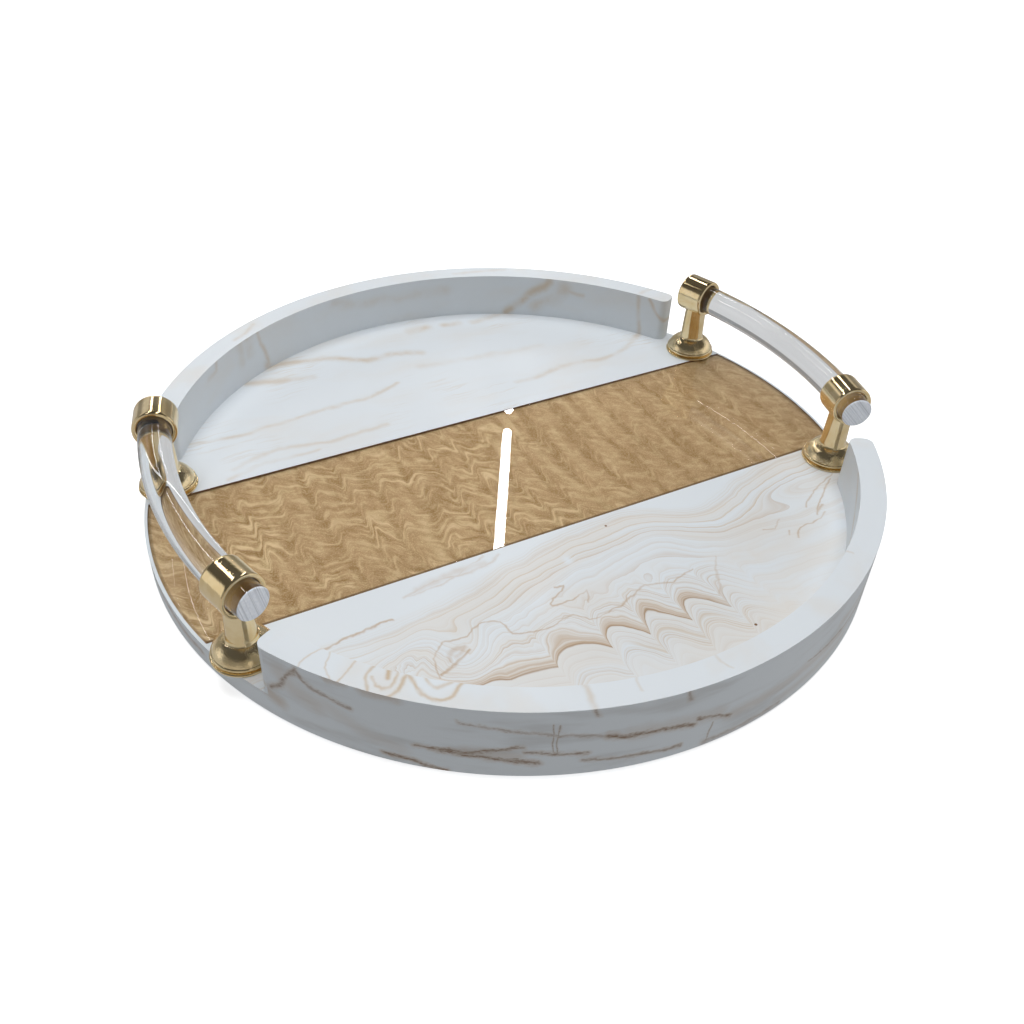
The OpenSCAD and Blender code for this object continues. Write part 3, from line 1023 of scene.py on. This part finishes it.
def tray():
    bm = bmesh.new()
    halves = [tray_half(bm, 1), tray_half(bm, -1)]
    for half, other, floor_face in ((*halves, BACK_FACE), (*halves[::-1], FRONT_FACE)):
        top = rim_loop(half, "top_")
        low = rim_loop(half, "")
        on_outer_wall = len(half["outer"]) - 1
        for i in range(len(low)):
            j = (i + 1) % len(low)
            face = bm.faces.new((low[i], low[j], top[j], top[i]))
            face.material_index = WALL_FACE if i < on_outer_wall else RIM_FACE
        wall(bm, half["top_outer"], half["top_inner"], False, TOP_FACE)
        for place, name in ((0, "top_end"), (-1, "top_far_end")):
            loop = [half["top_outer"][place], *half[name], half["top_inner"][place]]
            bm.faces.new(loop).material_index = TOP_FACE
        bm.faces.new(
            half["mid"] + half["gap"] + half["outer"][:1] + half["end"] + half["inner"]
            + half["far_end"][::-1] + half["outer"][-1:] + half["far_gap"] + other["mid"]
            + other["recess"][:1] + half["recess"][::-1]
        ).material_index = floor_face
    edge = [v for half in halves for name in FLOOR_EDGE for v in half[name]]
    under = [v for half in halves for name in FLOOR_EDGE for v in half["under_" + name]]
    wall(bm, under, edge, True, WALL_FACE)
    bm.faces.new(under[::-1]).material_index = RIM_FACE
    recess = halves[0]["recess"] + halves[1]["recess"]
    deep = halves[0]["deep_recess"] + halves[1]["deep_recess"]
    wall(bm, recess, deep, True, EDGE_FACE)
    bm.faces.new(deep).material_index = EDGE_FACE
    bmesh.ops.recalc_face_normals(bm, faces=bm.faces)

    weight = bm.edges.layers.float.new("bevel_weight_edge")
    for e in bm.edges:
        heights = [v.co.z for v in e.verts]
        if e.calc_face_angle(0) < SHARP_TURN:
            continue
        if min(heights) > RIM_Z - MM:
            e[weight] = 1.0
        elif max(heights) < UNDER_Z + MM:
            e[weight] = UNDER_EDGE_SHARE
        elif min(v.co.xy.length for v in e.verts) > TRAY_R - 0.1 * MM:
            e[weight] = FLOOR_EDGE_SHARE
    made = new_object("tray", bm, [
        BACK_RESIN, FRONT_RESIN, RESIN_WALL, RESIN_RIM, RESIN_TOP, RESIN_EDGE,
    ])
    bevel = made.modifiers.new("bevel", "BEVEL")
    bevel.limit_method = "WEIGHT"
    bevel.width = BEVEL
    bevel.segments = 5
    pockets = screw_pockets()
    cut = made.modifiers.new("pockets", "BOOLEAN")
    cut.operation = "DIFFERENCE"
    cut.object = pockets
    settle(made)
    bpy.data.objects.remove(pockets)
    smooth(made)
    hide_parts("tray_body")
    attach(made, "root")


# ---------------------------------------------------------------- handles

def rounded(points, radius, steps=4):
    """A closed outline of (r, z) points with every corner rounded."""
    made = []
    count = len(points)
    for i, point in enumerate(points):
        here = Vector(point)
        before = Vector(points[i - 1]) - here
        after = (Vector(points[(i + 1) % count]) - here)
        reach = min(radius, before.length * 0.45, after.length * 0.45)
        start = here + before.normalized() * reach
        end = here + after.normalized() * reach
        made += bent(start, here, end, steps)
    return made


def post_turn(side, end):
    """Turn about Z that lines a collar up with the rod at a post."""
    post = middle(f"rosette_{end}_{side}")
    bend = math.asin(abs(post.y) / ROD_BEND_R)
    return SIDES[side] * ENDS[end] * bend


def collar(side, end):
    node = f"collar_{end}_{side}"
    low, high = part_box(node)
    centre = middle(node)
    outer_r = (high.z - low.z) / 2
    half = COLLAR_LENGTH / 2
    mouth = 0.7 * MM
    end_r = outer_r - 0.2 * MM
    straight = half - 0.9 * MM
    profile = [
        (COLLAR_BORE_R, -half + mouth), (COLLAR_BORE_R + mouth, -half),
        (end_r, -half), (outer_r, -straight),
        (outer_r, straight), (end_r, half),
        (COLLAR_BORE_R + mouth, half), (COLLAR_BORE_R, half - mouth),
    ]
    place = (
        Matrix.Translation(centre) @ Matrix.Rotation(post_turn(side, end), 4, "Z")
        @ Matrix.Rotation(math.pi / 2, 4, "X")
    )
    outline = rounded(profile, 0.45 * MM)
    # Faces inside bore_r take the bore's brass, painted darker as shade
    bore_r = COLLAR_BORE_R + 0.1 * MM
    made = lathed(f"{end}_{side}_collar", outline, place, [BRASS, RAW_BRASS_PAINTED_SHADE], steps=128, bore_r=bore_r)
    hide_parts(node)
    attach(made, "root")


def stem(side, end):
    node = f"stem_{end}_{side}"
    post = middle(f"rosette_{end}_{side}")
    _, rosette_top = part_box(f"rosette_{end}_{side}")
    collar_low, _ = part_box(f"collar_{end}_{side}")
    foot_z = rosette_top.z - 0.3 * MM
    top_z = collar_low.z + 1.8 * MM
    flare_width = 0.9 * MM
    flare_height = 1.6 * MM
    flare = [
        (STEM_FOOT_R + flare_width * (1 - math.sin(a)), foot_z + flare_height * (1 - math.cos(a)))
        for a in (math.radians(15 * i) for i in range(7))
    ]
    profile = [(POST_BORE_R, foot_z), *flare, (STEM_TOP_R, top_z), (POST_BORE_R, top_z)]
    place = Matrix.Translation((post.x, post.y, 0))
    made = lathed(f"{end}_{side}_stem", profile, place, [BRASS])
    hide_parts(node)
    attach(made, "root")


def rosette(side, end):
    node = f"rosette_{end}_{side}"
    low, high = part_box(node)
    centre = middle(node)
    edge_r = (high.x - low.x) / 2
    rise = high.z - low.z
    flange_r = 0.5 * MM
    bead_r = 0.75 * MM
    bead_x = edge_r - bead_r - 0.5 * MM
    bead_z = 1.5 * MM + bead_r
    foot = Vector((bead_x + 0.2 * MM, bead_z + 0.7 * MM))
    shoulder = Vector((STEM_FOOT_R + 0.1 * MM, rise))
    swell = Vector((foot.x - 1.2 * MM, shoulder.y - 1.4 * MM))
    dome = bent(foot, swell, shoulder, 16)
    flange = arc((edge_r - flange_r, flange_r), flange_r, -math.pi / 2, math.pi / 2, 8)
    bead = arc((bead_x, bead_z), bead_r, math.radians(-60), math.radians(60), 8)
    groove = (bead_x - 0.1 * MM, 1.05 * MM)
    profile = [(POST_BORE_R, 0), *flange, groove, *bead, *dome, (POST_BORE_R, rise)]
    place = Matrix.Translation((centre.x, centre.y, low.z))
    made = lathed(f"{end}_{side}_rosette", profile, place, [CAST_BRASS], steps=128, sharp_angle=50)
    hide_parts(node)
    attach(made, "root")


ROD_STEPS = 96
ROD_SIDES = 64


def rod(side):
    """A bent clear rod with softened, sawn ends."""
    node = f"rod_{side}"
    sign = SIDES[side]
    post = middle(f"rosette_front_{side}")
    bend = math.asin(abs(post.y) / ROD_BEND_R)
    centre_x = abs(post.x) - ROD_BEND_R * math.cos(bend)
    half_collar = COLLAR_LENGTH / 2 / ROD_BEND_R
    start = -bend - half_collar - ROD_OVERHANG / ROD_BEND_R
    end = bend + half_collar
    soften = 0.35 * MM
    first = start + soften / ROD_BEND_R
    last = end - soften / ROD_BEND_R
    stations = [
        (start, ROD_R - soften),
        *((first + (last - first) * i / ROD_STEPS, ROD_R) for i in range(ROD_STEPS + 1)),
        (end, ROD_R - soften),
    ]
    bm = bmesh.new()
    rings = []
    for turn, radius in stations:
        ring = []
        for k in range(ROD_SIDES):
            across, up = polar(radius, 2 * math.pi * k / ROD_SIDES)
            x, y = polar(ROD_BEND_R + across, turn)
            ring.append(bm.verts.new((sign * (centre_x + x), y, ROD_Z + up)))
        rings.append(ring)
    last_span = len(rings) - 2
    for i, (ring, following) in enumerate(zip(rings, rings[1:])):
        wall(bm, ring, following, True, 1 if i in (0, last_span) else 0)
    bm.faces.new(rings[0][::-1]).material_index = 1
    bm.faces.new(rings[-1]).material_index = 1
    made = facing_out(f"{side}_rod", bm, [ACRYLIC, SAWN_ACRYLIC])
    smooth(made, 30)
    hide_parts(node)
    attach(made, "root")


# ---------------------------------------------------------------- coat, feet and small parts

def clear_coat():
    """The clear pour, bonded to what is round it: its hidden faces lie just inside the others."""
    bond = 0.02 * MM
    end_r = BAND_END + bond
    half = BAND_HALF + bond
    turn = math.asin(half / end_r)
    plan = arc((0, 0), end_r, -turn, turn, 32) + arc((0, 0), end_r, math.pi - turn, math.pi + turn, 32)
    bm = bmesh.new()
    low = [bm.verts.new((x, y, PEARL_Z - bond)) for x, y in plan]
    high = [bm.verts.new((x, y, FLOOR_Z + bond)) for x, y in plan]
    wall(bm, low, high, True, 0)
    bm.faces.new(low[::-1])
    top = bm.faces.new(high)
    bmesh.ops.bevel(
        bm, geom=list(top.edges), offset=0.5 * MM, segments=4, profile=0.5, affect="EDGES",
    )
    made = new_object("coat", bm, [CLEAR_RESIN])
    smooth(made)
    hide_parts("clear_coat")
    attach(made, "root")


def feet():
    """Four soft domed bumpers."""
    bm = bmesh.new()
    edge = arc((FOOT_R - FOOT_ROUND, FOOT_ROUND), FOOT_ROUND, -math.pi / 2, 0, 6)
    profile = [*edge, (FOOT_R, foot_high.z)]
    for i in range(4):
        x, y = polar(FOOT_REACH, math.radians(45 + 90 * i))
        lathe(bm, profile, 64, Matrix.Translation((x, y, 0)), closed=False)
    made = facing_out("feet", bm, [RUBBER])
    smooth(made)
    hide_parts("bumper_feet")
    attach(made, "root")


def refinish(node, material):
    """Gives a CAD node a better material."""
    mesh = frame["nodes"][node].data
    mesh.materials.clear()
    mesh.materials.append(material)


tray()
clear_coat()
feet()
for side_name in SIDES:
    rod(side_name)
    for end_name in ENDS:
        rosette(side_name, end_name)
        stem(side_name, end_name)
        collar(side_name, end_name)
refinish("pearl_inlay", PEARL)
refinish("mounting_screws", STEEL)
refinish("screw_washers", STEEL)
refinish("rod_grub_screws", DARK_STEEL)


# ---------------------------------------------------------------- stage, lights and camera

TABLE_LEVEL = 0.64
TABLE_THROUGH_RODS = 0.80
PALE_WALL = 1.08
DARK_WALL = 0.34
CEILING_LEVEL = 0.12
SOFTBOX_WATTS = 21.2
SOFTBOX_PLACE = Vector((0.0, 0.1, 1.6))
SOFTBOX_SIZE = 1.1
STAGE_REACH = 8.0

# Two rows of ceiling tubes, each of a near tube and a far one
TUBE_HEIGHT = 1.408
TUBE_DIAMETER = 0.026
TUBE_STRENGTH = 28.0
TUBE_RUN = Vector((0.61, 1.03, 0.0))
TUBE_GAP = Vector((0.06, 0.10, 0.0))
TUBE_ROWS = {"right": 0.41, "left": -0.69}
TUBE_ROW_START = 0.76

# (distance from the middle, height), in metres
BACKDROP = [(5.0, 0.002), (5.5, 0.06), (5.9, 0.35), (6.1, 1.0), (6.2, 2.0), (6.2, 6.0)]


def stage_material():
    g = Graph("stage_paper")
    x, y, _ = g.xyz()
    grain = g.noise(x, y, 0.0, scale=0.02, detail=2)
    g.principled(
        Base_Color=g.mix(grain, (0.86, 0.86, 0.86), (0.88, 0.88, 0.88)),
        Roughness=0.8,
        Emission_Color=(1.0, 1.0, 1.0, 1.0),
        Emission_Strength=0.62,
    )
    return g.material


def stage_piece(name, bm, material):
    """A piece of the set that only the camera sees."""
    made = new_object(name, bm, [material])
    made.visible_diffuse = False
    made.visible_glossy = False
    made.visible_transmission = False
    return made


def stage():
    """A pale floor, and a pale backdrop that curves up all round it some metres out."""
    material = stage_material()
    bm = bmesh.new()
    bmesh.ops.create_grid(bm, x_segments=1, y_segments=1, size=STAGE_REACH)
    stage_piece("stage_floor", bm, material)
    bm = bmesh.new()
    lathe(bm, BACKDROP, 96, Matrix.Identity(4), closed=False, capped=False)
    for face in bm.faces:
        face.smooth = True
    stage_piece("stage_backdrop", bm, material).visible_shadow = False


def softbox():
    """The soft light over the tray. Mirrors and clear pieces don't show it."""
    lamp = bpy.data.lights.new("top_softbox", "AREA")
    lamp.shape = "SQUARE"
    lamp.size = SOFTBOX_SIZE
    lamp.energy = SOFTBOX_WATTS
    made = bpy.data.objects.new("top_softbox", lamp)
    bpy.context.scene.collection.objects.link(made)
    made.location = SOFTBOX_PLACE
    made.visible_glossy = False
    made.visible_transmission = False
    made.rotation_euler = (-SOFTBOX_PLACE).to_track_quat("-Z", "Y").to_euler()


def tube(name, start, end):
    """A ceiling tube that shows only in mirror-like surfaces."""
    g = Graph(name)
    emit = g.tree.nodes.new("ShaderNodeEmission")
    emit.inputs["Strength"].default_value = TUBE_STRENGTH
    g.tree.links.new(emit.outputs[0], g.output.inputs[0])
    along = end - start
    bm = bmesh.new()
    place = Matrix.Translation(start) @ along.to_track_quat("Z", "X").to_matrix().to_4x4()
    lathe(bm, [(TUBE_DIAMETER / 2, 0), (TUBE_DIAMETER / 2, along.length)], 16, place, closed=False)
    made = new_object(name, bm, [g.material])
    made.visible_camera = False
    made.visible_diffuse = False
    made.visible_shadow = False


def world():
    """Pale table and a room of light and dark walls under a dim ceiling."""
    g = Graph("studio", world=True)
    bpy.context.scene.world = g.material
    coordinates = g.tree.nodes.new("ShaderNodeTexCoord")
    split = g.tree.nodes.new("ShaderNodeSeparateXYZ")
    g.feed(split.inputs[0], coordinates.outputs["Generated"])
    x, y, z = (Field(g, socket) for socket in split.outputs)
    walls = g.ramp(g.noise(x, y, 0.3 * z, scale=1.7, detail=1), 0.44, 0.56, DARK_WALL, PALE_WALL)
    ceiling = g.ramp(z, 0.42, 0.55)
    room = walls * (1.0 - ceiling) + CEILING_LEVEL * ceiling
    path = g.tree.nodes.new("ShaderNodeLightPath")
    through_rods = Field(g, path.outputs["Is Transmission Ray"])
    table = TABLE_LEVEL + (TABLE_THROUGH_RODS - TABLE_LEVEL) * through_rods
    is_table = g.ramp(z, 0.0, -0.04)
    background = g.tree.nodes.new("ShaderNodeBackground")
    g.feed(background.inputs["Strength"], table * is_table + room * (1.0 - is_table))
    g.tree.links.new(background.outputs[0], g.output.inputs[0])


stage()
world()
softbox()
for row, row_x in TUBE_ROWS.items():
    tube_start = Vector((row_x, TUBE_ROW_START, TUBE_HEIGHT))
    for nearness in ("near", "far"):
        tube(f"{row}_tube_{nearness}", tube_start, tube_start + TUBE_RUN)
        tube_start = tube_start + TUBE_RUN + TUBE_GAP

CAMERA_AIM = Vector((-13.3 * MM, -24.9 * MM, FLOOR_Z))
CAMERA_AZIMUTH = math.radians(-30.36)
CAMERA_ELEVATION = math.radians(39.01)
CAMERA_DISTANCE = 409.7 * MM
CAMERA_ROLL = math.radians(2.93)
CAMERA_LENS = 35.49


def camera():
    lens = bpy.data.cameras.new("camera")
    lens.lens = CAMERA_LENS
    lens.clip_start = 0.01
    made = bpy.data.objects.new("camera", lens)
    bpy.context.scene.collection.objects.link(made)
    flat = math.cos(CAMERA_ELEVATION)
    back = Vector((
        math.sin(CAMERA_AZIMUTH) * flat,
        -math.cos(CAMERA_AZIMUTH) * flat,
        math.sin(CAMERA_ELEVATION),
    ))
    level = (-back).to_track_quat("-Z", "Y").to_matrix()
    made.rotation_euler = (level @ Matrix.Rotation(CAMERA_ROLL, 3, "Z")).to_euler()
    made.location = CAMERA_AIM + back * CAMERA_DISTANCE
    bpy.context.scene.camera = made


camera()
bpy.context.scene.view_settings.view_transform = "Standard"
